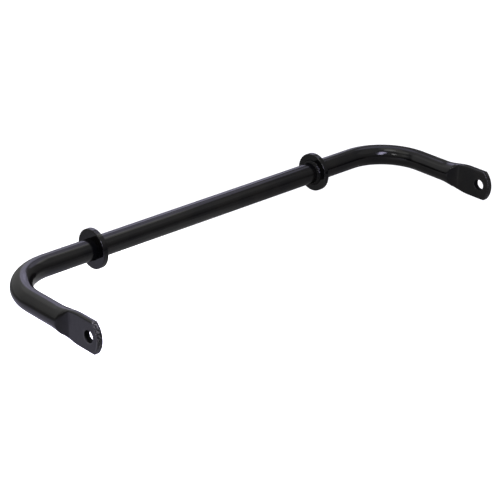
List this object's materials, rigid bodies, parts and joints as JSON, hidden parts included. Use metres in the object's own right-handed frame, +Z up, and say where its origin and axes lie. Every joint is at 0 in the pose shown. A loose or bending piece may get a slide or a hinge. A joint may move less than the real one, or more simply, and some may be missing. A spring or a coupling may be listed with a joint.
{
  "type": "sway bar",
  "caption": "Round steel stabiliser bar bent into a shallow U, with forged flat ends drilled for links and welded stop collars on its straight section.",
  "frame": {"origin": "on the bar's axis, midway between its arms, where the frame bushings' common axis crosses the plane of symmetry", "axes": "+X along the bar's axis towards the right arm, -Y the way both arms reach, +Z up, square to the plane of the arms"},
  "size_m": [0.49, 0.1578, 0.0372],
  "materials": {
    "bar_paint": "gloss black paint on forged steel",
    "collar_paint": "gloss black paint on turned steel",
    "weld_paint": "black paint over a lumpy weld bead"
  },
  "bodies": {
    "left_side": {"bar_left_half": "bar_paint", "collar_left": "collar_paint", "collar_weld_left": "weld_paint"},
    "right_side": {"bar_right_half": "bar_paint", "collar_right": "collar_paint", "collar_weld_right": "weld_paint"}
  },
  "joints": [
    {"name": "bar_twist", "type": "hinge", "parent": "left_side", "child": "right_side", "pos_m": [0, 0, 0], "axis": [1, 0, 0], "range_deg": [-20, 20], "stiffness_Nm_per_rad": 2640}
  ]
}
